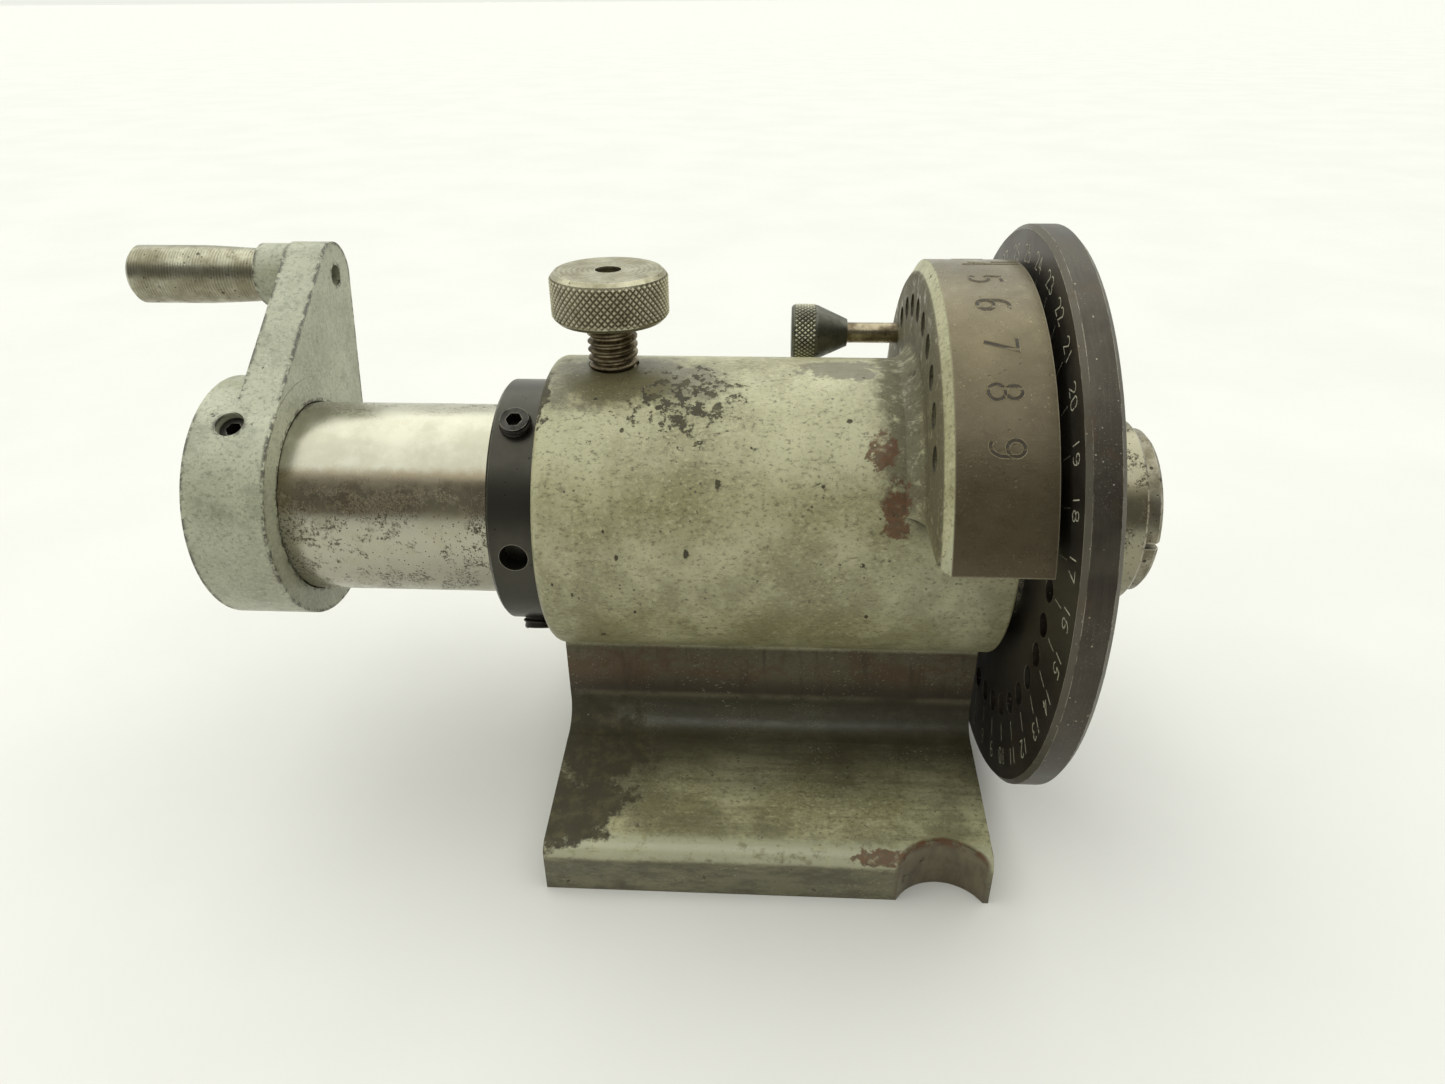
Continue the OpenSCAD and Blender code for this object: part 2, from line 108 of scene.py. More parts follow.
class Graph:
    """One material's node tree, built by short calls. Sizes are millimetres in the row frame."""

    def __init__(self, name, metallic=0.0, roughness=0.5, gloss=0.5):
        self.material = bpy.data.materials.new(name)
        self.material.use_nodes = True
        self.tree = self.material.node_tree
        self.shader = self.tree.nodes["Principled BSDF"]
        self.shader.inputs["Metallic"].default_value = metallic
        self.shader.inputs["Roughness"].default_value = roughness
        self.shader.inputs["Specular IOR Level"].default_value = gloss
        found = self.node("ShaderNodeTexCoord").outputs["Object"]
        self.spot = self.shift(found, scale=(1 / MM,) * 3, offset=(0, 0, -AXIS))
        parts = self.node("ShaderNodeSeparateXYZ", {"Vector": self.spot}).outputs
        self.x, self.y, self.h = parts[0], parts[1], parts[2]

    def node(self, kind, inputs=None, **settings):
        made = self.tree.nodes.new(kind)
        for key, value in settings.items():
            setattr(made, key, value)
        for key, value in (inputs or {}).items():
            self.feed(made.inputs[key], value)
        return made

    def feed(self, socket, value):
        if isinstance(value, bpy.types.NodeSocket):
            self.tree.links.new(value, socket)
        else:
            socket.default_value = value

    def shift(self, vector, scale=(1, 1, 1), offset=(0, 0, 0)):
        inputs = {"Vector": vector, "Scale": scale, "Location": offset}
        return self.node("ShaderNodeMapping", inputs).outputs[0]

    def math(self, operation, first, second=0.0):
        made = self.node("ShaderNodeMath", operation=operation)
        self.feed(made.inputs[0], first)
        self.feed(made.inputs[1], second)
        return made.outputs[0]

    def mul(self, first, second):
        return self.math("MULTIPLY", first, second)

    def add(self, first, second):
        return self.math("ADD", first, second)

    def sub(self, first, second):
        return self.math("SUBTRACT", first, second)

    def root(self, first, second):
        """The length whose sides are first and second"""
        return self.math("SQRT", self.add(self.mul(first, first), self.mul(second, second)))

    def both(self, *masks):
        """All of the masks at once"""
        made = masks[0]
        for mask in masks[1:]:
            made = self.mul(made, mask)
        return made

    def either(self, *masks):
        """Any of the masks"""
        made = masks[0]
        for mask in masks[1:]:
            made = self.math("MAXIMUM", made, mask)
        return made

    def but(self, mask, hidden):
        """The first mask where the second isn't"""
        return self.mul(mask, self.sub(1.0, hidden))

    def ramp(self, value, low, high, start=0.0, end=1.0):
        inputs = {"Value": value, "From Min": low, "From Max": high, "To Min": start, "To Max": end}
        return self.node("ShaderNodeMapRange", inputs, interpolation_type="SMOOTHSTEP").outputs[0]

    def near(self, value, centre, half, soft):
        """1 within half of the centre, falling to 0 over soft more"""
        off = self.math("ABSOLUTE", self.sub(value, centre))
        return self.ramp(off, half + soft, half)

    def noise(self, size, detail=5.0, rough=0.6, stretch=(1, 1, 1), seed=0.0, spot=None):
        """Random values about 0.5, in features of about that size"""
        scale = [1 / (size * s) for s in stretch]
        where = self.shift(spot or self.spot, scale=scale, offset=(seed, seed * 0.7, -seed))
        inputs = {"Vector": where, "Scale": 1.0, "Detail": detail, "Roughness": rough}
        return self.node("ShaderNodeTexNoise", inputs).outputs[0]

    def specks(self, size, cover, seed=0.0):
        """Separate round specks in a share of the cells"""
        where = self.shift(self.spot, scale=(1 / size,) * 3, offset=(seed,) * 3)
        cell = self.node("ShaderNodeTexVoronoi", {"Vector": where, "Scale": 1.0})
        pick = self.node("ShaderNodeSeparateXYZ", {"Vector": cell.outputs["Color"]}).outputs[0]
        speck = self.ramp(cell.outputs["Distance"], 0.34, 0.2)
        return self.mul(speck, self.ramp(pick, cover, cover - 0.02))

    def scratches(self, length, width, cover=0.03, seed=0.0, turn=0.0):
        """Thin straight marks along X, turned by an angle about Y and Z"""
        inputs = {"Vector": self.spot, "Rotation": (0, turn, turn)}
        turned = self.node("ShaderNodeMapping", inputs).outputs[0]
        line = self.noise(width, 1.0, 0.4, stretch=(length / width, 1, 1), seed=seed, spot=turned)
        there = self.ramp(self.noise(length * 1.5, 2.0, 0.5, seed=seed + 3), 0.5, 0.58)
        return self.mul(self.ramp(line, 0.72 - cover, 0.76 - cover), there)

    def radius(self):
        """Distance from the spindle axis"""
        return self.root(self.y, self.h)

    def angle(self):
        """Degrees about the spindle axis, from the front round over the top"""
        return self.math("DEGREES", self.math("ARCTAN2", self.h, self.mul(self.y, -1.0)))

    def spot_mask(self, centre, size, grain=8.0, ragged=0.9, seed=0.0, soft=0.12):
        """An irregular patch about a point, with half sizes along X, Y and Z"""
        scale = [1 / s for s in size]
        offset = [-c / s for c, s in zip(centre, size)]
        place = self.shift(self.spot, scale=scale, offset=offset)
        far = self.node("ShaderNodeVectorMath", {0: place}, operation="LENGTH").outputs["Value"]
        rough = self.sub(self.noise(grain, 6.0, 0.68, seed=seed), 0.5)
        return self.ramp(self.add(far, self.mul(rough, ragged * 2.6)), 1 + soft, 1 - soft)

    def blend(self, factor, base, over):
        """The base colour with the other laid over it by the factor"""
        made = self.node("ShaderNodeMix", data_type="RGBA")
        self.feed(made.inputs["Factor"], factor)
        self.feed(made.inputs[6], base)
        self.feed(made.inputs[7], over)
        return made.outputs[2]

    def edges(self, reach, low=0.02, high=0.16):
        """Where the surface turns a corner within reach"""
        bevel = self.node("ShaderNodeBevel", {"Radius": reach * MM}, samples=6)
        true = self.node("ShaderNodeNewGeometry").outputs["Normal"]
        inputs = {0: bevel.outputs[0], 1: true}
        along = self.node("ShaderNodeVectorMath", inputs, operation="DOT_PRODUCT").outputs["Value"]
        return self.ramp(self.sub(1.0, along), low, high)

    def hollows(self, reach, low=0.45, high=0.9):
        """1 in holes and tight corners, where other surfaces stand within reach: the mask for painted shade
        """
        inputs = {"Distance": reach * MM}
        seen = self.node("ShaderNodeAmbientOcclusion", inputs, samples=4, only_local=True).outputs["AO"]
        return self.ramp(seen, high, low)

    def finish(self, colour, roughness, height, depth, metallic=None):
        """Links what varies. height runs from 0 to 1 and depth is in millimetres."""
        self.feed(self.shader.inputs["Base Color"], colour)
        self.feed(self.shader.inputs["Roughness"], roughness)
        if metallic is not None:
            self.feed(self.shader.inputs["Metallic"], metallic)
        bump = self.node("ShaderNodeBump", {"Height": height, "Distance": depth * MM, "Strength": 1.0})
        self.feed(self.shader.inputs["Normal"], bump.outputs[0])
        return self.material


# ---------- materials ----------

def enamel_base(g, light, middle, dark):
    """Sprayed enamel in three mottled tones, and the height of its fine orange-peel grain"""
    broad = g.noise(26, 5.0, 0.62, seed=2)
    small = g.noise(3.2, 6.0, 0.72, seed=5)
    grain = g.noise(0.8, 4.0, 0.75, stretch=(1.5, 1, 1), seed=8)
    tone = g.blend(g.ramp(broad, 0.36, 0.66), middle, light)
    tone = g.blend(g.ramp(small, 0.56, 0.7, 0.0, 0.45), tone, dark)
    tone = g.blend(g.ramp(grain, 0.53, 0.66, 0.0, 0.7), tone, dark)
    tone = g.blend(g.ramp(grain, 0.47, 0.34, 0.0, 0.8), tone, light)
    return tone, grain, small


def casting_paint():
    """Worn enamel: dirty and with painted shade on the web and foot, chipped on the barrel, absent from the
    machined faces
    """
    g = Graph("casting_paint", gloss=0.6)
    tone, grain, small = enamel_base(g, rgb(190, 187, 150), rgb(145, 141, 103), rgb(90, 86, 60))
    below = g.both(g.ramp(g.h, WEB_H, WEB_H - 4), g.ramp(g.radius(), BARREL_R + 0.2, BARREL_R + 1.4))
    foot = g.ramp(g.h, ROOT_H, ROOT_H - 4)
    dots = g.both(g.specks(1.0, 0.08, seed=14), g.ramp(g.noise(11, 3.0, 0.6, seed=15), 0.44, 0.56))
    fillet = fillet_band(g, small)
    scuffs = g.either(g.scratches(14, 0.4, 0.04, 75, 0.4), g.scratches(9, 0.3, 0.04, 76, -0.8))
    notch = g.either(*[notch_wall(g, side) for side in (1, -1)])
    corner = g.edges(0.55)
    worn_corner = g.both(corner, g.ramp(g.noise(4.0, 5.0, 0.7, seed=71), 0.44, 0.56))
    naked = g.either(bare_patches(g), paint_chips(g), worn_corner)
    rusty = rust_marks(g, notch)
    machined = machined_faces(g)

    tone = web_dirt(g, tone, below, g.but(below, foot))
    tone = foot_dirt(g, tone, foot, small)
    tone = barrel_dirt(g, tone, dots)
    tone = general_wear(g, tone, fillet, scuffs, small)
    tone = g.blend(g.mul(notch, 0.9), tone, notch_tone(g))
    tone = g.blend(naked, tone, bare_iron(g))
    tone = g.blend(g.both(rusty, g.ramp(small, 0.3, 0.5), 0.85), tone, rust_tone(g))
    tone = g.blend(machined, tone, patina(g))
    tone = g.blend(g.both(machined, corner, 0.6), tone, rgb(170, 162, 138))

    dull = g.either(naked, rusty, g.both(below, g.ramp(g.h, ROOT_H - 8, ROOT_H - 4)), fillet)
    rough = g.add(g.ramp(small, 0.3, 0.7, 0.3, 0.46), g.mul(dull, 0.3))
    rough = g.sub(rough, g.mul(machined, 0.06))
    coat = g.but(g.but(1.0, naked), machined)
    waves = g.noise(7, 4.0, 0.5, seed=81)
    height = g.add(g.mul(coat, 0.55), g.add(g.mul(grain, 0.28), g.mul(waves, 0.9)))
    height = g.sub(height, g.mul(dots, 0.4))
    height = g.sub(height, g.mul(scuffs, 0.15))
    metal = g.mul(g.either(machined, g.mul(naked, 0.3)), 0.5)
    return g.finish(tone, rough, height, 0.14, metal)


def web_dirt(g, tone, below, web):
    """Brown dirt and painted shade on the web under the barrel and in the root of the foot, upright streaks,
    and a pale painted highlight along the fold
    """
    stained = g.ramp(g.noise(10, 6.0, 0.7, stretch=(1.5, 1, 1), seed=26), 0.48, 0.6)
    ragged_h = g.add(g.h, g.mul(g.noise(14, 4.0, 0.6, stretch=(1, 3, 3), seed=22), 5))
    deep = g.both(below, g.ramp(ragged_h, ROOT_H + 9, ROOT_H + 3), g.ramp(g.h, ROOT_H - 5, ROOT_H - 2))
    streaks = g.ramp(g.noise(2.2, 4.0, 0.6, stretch=(1, 8, 8), seed=21), 0.54, 0.68)
    broken = g.ramp(g.noise(16, 4.0, 0.6, seed=24), 0.4, 0.6)
    # Pale line along the fold between web and foot: painted highlight
    line = g.both(g.near(g.h, ROOT_H - 1.6, 0.3, 1.4), below, broken)
    # Dark brown over the web under the barrel: dirt together with painted shade
    tone = g.blend(g.mul(web, 0.85), tone, rgb(84, 74, 54))
    tone = g.blend(g.both(web, stained, 0.6), tone, rgb(94, 68, 46))
    # Darker still toward the root of the foot: dirt together with painted shade in the corner
    tone = g.blend(g.mul(deep, 0.85), tone, rgb(64, 55, 41))
    tone = g.blend(g.both(web, streaks, 0.45), tone, rgb(57, 47, 35))
    return g.blend(g.mul(line, 0.4), tone, rgb(159, 154, 122))


def foot_dirt(g, tone, foot, small):
    """Smears along the foot, painted shade toward the web under the barrel, and its mottled front face"""
    smears = g.ramp(g.noise(1.6, 4.0, 0.65, stretch=(12, 1, 1), seed=31), 0.46, 0.66)
    shade = g.ramp(g.noise(15, 5.0, 0.7, seed=33), 0.42, 0.6)
    ragged_y = g.add(g.math("ABSOLUTE", g.y), g.mul(g.noise(9, 5.0, 0.6, stretch=(3, 1, 1), seed=34), 12))
    front_face = g.both(g.ramp(g.h, EDGE_H, EDGE_H - 1.5), g.ramp(small, 0.2, 0.4))
    mottled = g.ramp(g.noise(4, 7.0, 0.72, stretch=(3, 1, 1), seed=35), 0.42, 0.6)
    tone = g.blend(g.both(foot, smears, 0.4), tone, rgb(89, 86, 62))
    tone = g.blend(g.both(foot, shade, 0.6), tone, rgb(99, 95, 69))
    # Darker toward the web, under the barrel: painted shade
    tone = g.blend(g.both(foot, g.ramp(ragged_y, 52, 30), 0.85), tone, rgb(60, 56, 41))
    return g.blend(g.mul(front_face, 0.85), tone, g.blend(mottled, rgb(76, 71, 50), rgb(112, 108, 80)))


def barrel_dirt(g, tone, dots):
    """Darker patches low on the barrel, oil in two patches on its top, and small dark dots all over the
    casting
    """
    on_barrel = g.ramp(g.radius(), BARREL_R + 0.5, BARREL_R + 0.1)
    # Darker tone in patches on the lower front of the barrel
    dirty = g.both(on_barrel, g.ramp(g.angle(), 40, -20), g.ramp(g.noise(9, 6.0, 0.7, seed=41), 0.4, 0.62))
    oiled = g.either(g.spot_mask((LOCK_X + 4, -8, 34), (20, 11, 6), 5, 0.9, 61, soft=0.35),
                     g.spot_mask((14, -2, 34), (9, 5, 3), 4, 0.9, 66))
    tone = g.blend(g.mul(dirty, 0.55), tone, rgb(122, 117, 84))
    tone = g.blend(g.mul(dots, 0.75), tone, rgb(69, 67, 52))
    return g.blend(g.mul(oiled, 0.85), tone, rgb(98, 92, 64))


def fillet_band(g, small):
    """The fillet between barrel and segment, and a ragged band of the barrel beside it"""
    ragged_x = g.add(g.x, g.mul(g.noise(6, 4.0, 0.6, seed=87), 8))
    band = g.both(g.near(ragged_x, SEGMENT_X + 1.8, 4.2, 4), g.ramp(g.h, 7, 18))
    return g.both(band, g.ramp(small, 0.3, 0.5), g.ramp(g.x, SEGMENT_X + 0.6, SEGMENT_X + 0.2))


def general_wear(g, tone, fillet, scuffs, small):
    """Painted shade on the segment's rear face and in corners and holes, scratches, and a painted highlight
    along the front edge of the foot
    """
    # Darker olive on the segment's rear face: painted shade
    rear = g.both(g.near(g.x, SEGMENT_X, 0.3, 0.3), g.ramp(g.h, 8, 18), g.ramp(g.radius(), 36, 38),
                  g.ramp(small, 0.26, 0.44))
    scores = g.either(g.scratches(4, 0.28, 0.05, 85, 0.25), g.scratches(3, 0.25, 0.05, 86, -0.6),
                      g.scratches(3, 0.25, 0.05, 88, 1.2))
    outer = g.ramp(g.math("ABSOLUTE", g.y), -CAST_LOW.y - 5.5, -CAST_LOW.y - 3)
    # Pale band on the rounding of the foot's front edge: painted highlight
    edge_highlight = g.both(outer, g.ramp(g.h, EDGE_H - 0.8, EDGE_H + 0.4), g.ramp(small, 0.34, 0.5))
    tone = g.blend(g.mul(rear, 0.75), tone, rgb(86, 80, 56))
    tone = g.blend(g.mul(fillet, 0.8), tone, rgb(80, 73, 48))
    # Near black in holes and tight corners: painted shade
    tone = g.blend(g.mul(g.hollows(7), 0.8), tone, rgb(38, 33, 24))
    tone = g.blend(g.mul(scuffs, 0.5), tone, rgb(176, 173, 146))
    tone = g.blend(g.mul(scores, 0.5), tone, rgb(82, 76, 58))
    return g.blend(g.mul(edge_highlight, 0.85), tone, rgb(176, 176, 148))


def bare_patches(g):
    """Where the paint is gone: on the barrel's top, at its rear edge and on the left end of the foot"""
    crumbs = g.ramp(g.noise(2.4, 6.0, 0.7, seed=89), 0.49, 0.52)
    return g.either(
        g.both(g.spot_mask((-19, -14, 31), (10, 9, 6), 2.6, 1.7, 62), crumbs),
        g.spot_mask((CAST_LOW.x, -14, 32), (2, 9, 6), 3, 1.4, 63),
        g.spot_mask((CAST_LOW.x + 9, -27, -50), (15, 13, 9), 12, 0.7, 64),
        g.spot_mask((CAST_LOW.x + 6, -46, -54), (13, 11, 7), 9, 0.9, 65))


def bare_iron(g):
    """Dark iron with flecks of paint left on it"""
    clouds = g.ramp(g.noise(3.4, 6.0, 0.66, seed=79), 0.44, 0.68)
    flecks = g.ramp(g.noise(2.8, 8.0, 0.8, seed=80), 0.655, 0.68)
    return g.blend(flecks, g.blend(clouds, rgb(66, 61, 41), rgb(88, 82, 56)), rgb(164, 161, 134))


def rust_marks(g, notch):
    """Rust beside the segment, on the foot near the notch and at the top of the notch's wall"""
    patchy = g.ramp(g.noise(3.2, 6.0, 0.7, seed=78), 0.44, 0.5)
    return g.either(
        g.spot_mask((22, -25, 25), (3, 4, 4), 2.6, 1.3, 67),
        g.spot_mask((25, -32, 15), (3, 5, 6), 2.8, 1.5, 68),
        g.spot_mask((25, -55.5, -57.5), (6, 2.4, 2.4), 2.4, 1.0, 69),
        g.both(notch, patchy, g.ramp(g.h, EDGE_H + 0.5, EDGE_H + 2.5)))


def rust_tone(g):
    """Brown and red-brown rust"""
    return g.blend(g.ramp(g.noise(1.2, 6.0, 0.7, seed=83), 0.4, 0.62), rgb(100, 58, 26), rgb(80, 56, 32))


def machined_faces(g):
    """The rim, the bore, the front face and the underside, which carry no paint"""
    rim = g.both(g.ramp(g.radius(), SEGMENT_R - 0.9, SEGMENT_R - 0.3),
                 g.ramp(g.x, RIM_X - 0.2, RIM_X + 0.1), g.ramp(g.h, RIM_LOW_H, RIM_LOW_H + 0.8))
    bore = g.ramp(g.radius(), BORE_R + 0.4, BORE_R)
    front = g.ramp(g.x, CAST_HIGH.x - 0.3, CAST_HIGH.x - 0.1)
    underside = g.ramp(g.h, -AXIS + 0.3, -AXIS + 0.1)
    return g.either(rim, bore, front, underside)


def patina(g):
    """Brown patina on machined iron, darker low down, with pale specks and rubbed marks"""
    clouds = g.ramp(g.noise(12, 6.0, 0.6, seed=51), 0.34, 0.68)
    grains = g.ramp(g.noise(0.7, 5.0, 0.7, seed=52), 0.58, 0.72, 0.0, 0.55)
    pale = g.both(g.specks(0.6, 0.16, seed=53), g.ramp(g.noise(9, 3.0, 0.6, seed=57), 0.48, 0.6))
    tone = g.blend(clouds, rgb(98, 88, 64), rgb(116, 106, 80))
    tone = g.blend(grains, tone, rgb(140, 130, 106))
    tone = g.blend(g.mul(pale, 0.7), tone, rgb(164, 152, 122))
    tone = g.blend(g.mul(g.scratches(16, 0.35, 0.03, 54, 1.2), 0.5), tone, rgb(156, 146, 120))
    return g.blend(g.ramp(g.angle(), 66, 34, 0.0, 0.6), tone, rgb(70, 59, 42))


def paint_chips(g):
    """Small chips at random and the larger ones at their places on the barrel"""
    small = g.ramp(g.noise(5.5, 8.0, 0.74, seed=70), 0.655, 0.665)
    return g.either(small, *[barrel_chip(g, *place) for place in BARREL_CHIPS])


def barrel_chip(g, x, degrees, size):
    """A small chip in the barrel's paint"""
    centre = about_axis(x, BARREL_R, degrees) / MM - Vector((0, 0, AXIS))
    return g.spot_mask(centre, (size * 0.75, size * 0.8, size * 1.3), 0.7, 0.9, 90 + x)


def notch_wall(g, side):
    """Where the casting's clamp notch is cut, on one side"""
    across = g.add(g.x, -side * NOTCH_X)
    deep = g.add(g.y, -side * (CAST_LOW.y - 5.5))
    wall = g.ramp(g.root(across, deep), NOTCH_R + 1.1, NOTCH_R + 0.1)
    return g.mul(wall, g.ramp(g.h, EDGE_H + 10, EDGE_H + 6))


def notch_tone(g):
    """The browned wall of a notch"""
    clouds = g.ramp(g.noise(2.6, 5.0, 0.6, stretch=(1, 1, 2), seed=77), 0.36, 0.66)
    return g.blend(clouds, rgb(106, 96, 68), rgb(86, 75, 52))


def crank_paint():
    """Freckled enamel with chipped edges and painted shade in the holes"""
    g = Graph("crank_paint", gloss=0.75)
    light, middle, dark = rgb(184, 185, 160), rgb(158, 159, 135), rgb(128, 129, 106)
    tone, grain, small = enamel_base(g, light, middle, dark)
    freckles = g.ramp(g.noise(0.75, 3.0, 0.65, seed=3), 0.56, 0.66)
    tone = g.blend(g.mul(freckles, 0.4), tone, rgb(98, 96, 78))
    pale = g.ramp(g.noise(0.65, 3.0, 0.65, seed=17), 0.58, 0.68)
    tone = g.blend(g.mul(pale, 0.5), tone, rgb(204, 205, 184))
    runs = g.ramp(g.noise(6, 6.0, 0.7, seed=19), 0.52, 0.64)
    tone = g.blend(g.mul(runs, 0.4), tone, rgb(122, 126, 102))
    from_arm = g.math("ABSOLUTE", g.add(g.angle(), -CRANK_ANGLE))
    seam = g.both(g.near(g.radius(), HUB_R, 0.7, 0.3), g.ramp(from_arm, 62, 58))
    corner = g.but(g.edges(1.5, 0.002, 0.02), seam)
    wear = g.both(corner, g.ramp(g.noise(2.6, 7.0, 0.78, seed=23), 0.49, 0.52))
    chips = g.ramp(g.noise(4.2, 8.0, 0.76, seed=29), 0.665, 0.672)
    # Near black in the holes and tight corners: painted shade
    holes = g.hollows(4, 0.4, 0.8)
    naked = g.either(wear, chips)
    tone = g.blend(naked, tone, rgb(60, 52, 41))
    tone = g.blend(g.mul(holes, 0.85), tone, rgb(40, 36, 28))
    rough = g.add(g.ramp(small, 0.3, 0.7, 0.3, 0.48), g.mul(naked, 0.1))
    waves = g.noise(5, 4.0, 0.5, seed=35)
    height = g.add(g.but(1.0, naked), g.add(g.mul(grain, 0.3), g.mul(waves, 0.9)))
    height = g.sub(height, g.mul(freckles, 0.3))
    return g.finish(tone, rough, height, 0.12)


def machined_metal(name, light, dark, roughness, grain=0.25, pits=0.08, edge=None, metallic=1.0,
                   stretch=(1, 1, 1), seed=0.0, mottle=8.0):
    """Bare or blacked metal with tool grain, cloudy tone, small pits and brighter worn corners"""
    g = Graph(name, metallic=metallic)
    cloud = g.noise(mottle, 6.0, 0.66, seed=seed + 1)
    lines = g.noise(grain, 3.0, 0.6, stretch=stretch, seed=seed + 2)
    pit = g.either(g.specks(0.8, pits, seed + 3), g.specks(1.7, pits * 0.6, seed + 4))
    tone = g.blend(g.ramp(cloud, 0.34, 0.66), dark, light)
    tone = g.blend(g.ramp(lines, 0.5, 0.74, 0.0, 0.4), tone, dark)
    tone = g.blend(g.mul(pit, 0.8), tone, [c * 0.25 for c in dark[:3]] + [1.0])
    if edge:
        rubbed = g.both(g.edges(0.35, 0.02, 0.14), g.ramp(g.noise(3, 5.0, 0.7, seed=seed + 5), 0.34, 0.5))
        tone = g.blend(rubbed, tone, edge)
    low, high = roughness
    rough = g.add(g.ramp(cloud, 0.34, 0.66, high, low), g.mul(pit, 0.2))
    return g, tone, rough, g.sub(lines, pit)


def plain_metal(name, **finish):
    g, tone, rough, height = machined_metal(name, **finish)
    return g.finish(tone, rough, height, 0.02)


def spindle_steel():
    """Ground steel, polished above and pitted and stained below, with a brown band across the front that is
    partly film and partly a painted reflection of the dim room
    """
    g = Graph("spindle_steel", metallic=1.0)
    angle, radius = g.angle(), g.radius()
    rings = g.noise(0.22, 3.0, 0.6, stretch=(1, 60, 60), seed=2)
    cloud = g.noise(10, 5.0, 0.62, seed=4)
    tone = g.blend(g.ramp(cloud, 0.34, 0.68), rgb(170, 167, 150), rgb(190, 188, 172))
    under = g.ramp(angle, 40, 16)
    pitting = g.ramp(g.noise(0.75, 8.0, 0.85, seed=6), 0.51, 0.55)
    fields = g.ramp(g.noise(9, 6.0, 0.72, seed=7), 0.5, 0.56)
    upper = g.mul(g.ramp(angle, 78, 100), g.ramp(g.noise(5, 4.0, 0.6, seed=17), 0.44, 0.6))
    nose = g.ramp(g.x, 50, 55)
    under = g.either(under, nose)
    pitted = g.either(g.both(pitting, g.either(g.mul(under, fields), upper)),
                      g.both(g.specks(0.6, 0.2, seed=8), under))
    # Brown band across the front: partly a brown film, partly the painted reflection of the dim room in
    # front
    film_and_reflection = g.near(g.add(angle, g.mul(g.noise(3, 5.0, 0.6, seed=18), 8)), 33, 9, 7)
    tone = g.blend(g.mul(film_and_reflection, 0.6), tone, rgb(124, 104, 76))
    tone = g.blend(g.both(under, g.ramp(cloud, 0.4, 0.62), 0.5), tone, rgb(152, 146, 120))
    tone = g.blend(g.mul(nose, 0.6), tone, rgb(122, 117, 94))
    tone = g.blend(g.mul(pitted, 0.85), tone, rgb(76, 64, 50))
    recess = g.ramp(g.x, -60, -58)
    tone = g.blend(g.both(recess, g.ramp(radius, 24, 26), 0.4), tone, rgb(150, 146, 134))
    rough = g.add(g.ramp(cloud, 0.3, 0.7, 0.2, 0.33), g.mul(pitted, 0.3))
    height = g.sub(g.mul(rings, 0.5), pitted)
    return g.finish(tone, rough, height, 0.03)


def plate_black():
    """Black oxide with scratches, grey rubbed corners and a duller, dusty rear face"""
    g = Graph("plate_black", metallic=0.75)
    radius = g.radius()
    cloud = g.noise(14, 6.0, 0.66, seed=3)
    rim = g.ramp(radius, PLATE_R - 1.1, PLATE_R - 0.8)
    corner = g.both(g.ramp(radius, PLATE_R - 1.05, PLATE_R - 0.95),
                    g.ramp(radius, PLATE_R - 0.02, PLATE_R - 0.08))
    tone = g.blend(g.ramp(cloud, 0.36, 0.66), rgb(62, 57, 50), rgb(80, 75, 66))
    turned = g.noise(0.3, 3.0, 0.6, stretch=(0.6, 30, 30), seed=5)
    tone = g.blend(g.both(rim, g.ramp(turned, 0.5, 0.7), 0.16), tone, rgb(112, 108, 94))
    tone = g.blend(g.mul(corner, 0.35), tone, rgb(116, 111, 98))
    rubbed = g.both(g.edges(0.22, 0.01, 0.08), g.ramp(g.noise(5, 6.0, 0.7, seed=12), 0.4, 0.55))
    tone = g.blend(g.mul(rubbed, 0.9), tone, rgb(196, 190, 170))
    flecks = g.either(g.specks(0.6, 0.04, seed=6), g.ramp(g.noise(1.8, 8.0, 0.8, seed=7), 0.69, 0.72))
    tone = g.blend(g.mul(flecks, 0.75), tone, rgb(176, 170, 150))
    marks = g.either(g.scratches(11, 0.2, 0.03, 8, 0.9), g.scratches(18, 0.24, 0.03, 9, -0.5))
    tone = g.blend(g.mul(marks, 0.5), tone, rgb(150, 146, 132))
    browned = g.ramp(g.noise(7, 6.0, 0.7, seed=10), 0.54, 0.66)
    tone = g.blend(g.mul(browned, 0.35), tone, rgb(84, 66, 50))
    rough = g.ramp(cloud, 0.3, 0.7, 0.36, 0.5)
    height = g.sub(g.mul(turned, 0.4), g.mul(marks, 0.5))
    return g.finish(tone, rough, height, 0.02)


def from_axis(g, centre, axis):
    """The distance from an axis through a point, and the three offsets from the point"""
    moved = g.shift(g.spot, offset=[-c for c in centre])
    parts = g.node("ShaderNodeSeparateXYZ", {"Vector": moved}).outputs
    across = [parts[k] for k in range(3) if k != axis]
    return g.root(*across), parts


def ringed(name, light, dark, centre, axis, size, roughness, edge=None, seed=0.0):
    """Turned metal whose tool rings run round a given axis through a point"""
    g, tone, rough, height = machined_metal(name, light, dark, roughness, grain=0.5, pits=0.1, edge=edge,
                                            seed=seed)
    out, parts = from_axis(g, centre, axis)
    wobble = g.mul(g.noise(4, 3.0, 0.6, seed=seed + 20), size * 0.8)
    along = g.math("SINE", g.mul(g.add(g.add(out, parts[axis]), wobble), 2 * math.pi / size))
    rings = g.ramp(along, -1.0, 1.0)
    broken = g.both(rings, g.ramp(g.noise(3, 4.0, 0.6, seed=seed + 21), 0.36, 0.6))
    tone = g.blend(g.mul(broken, 0.5), tone, [c * 0.45 for c in dark[:3]] + [1.0])
    height = g.add(height, g.mul(rings, 0.9))
    return g.finish(tone, rough, height, 0.03)


def grip_steel():
    """Turned steel handle with tool rings along it"""
    return ringed("grip_steel", rgb(176, 174, 154), rgb(132, 127, 106), middle_of("handle_grip"), 0, 0.7,
                  (0.26, 0.4), edge=rgb(210, 206, 194), seed=31)


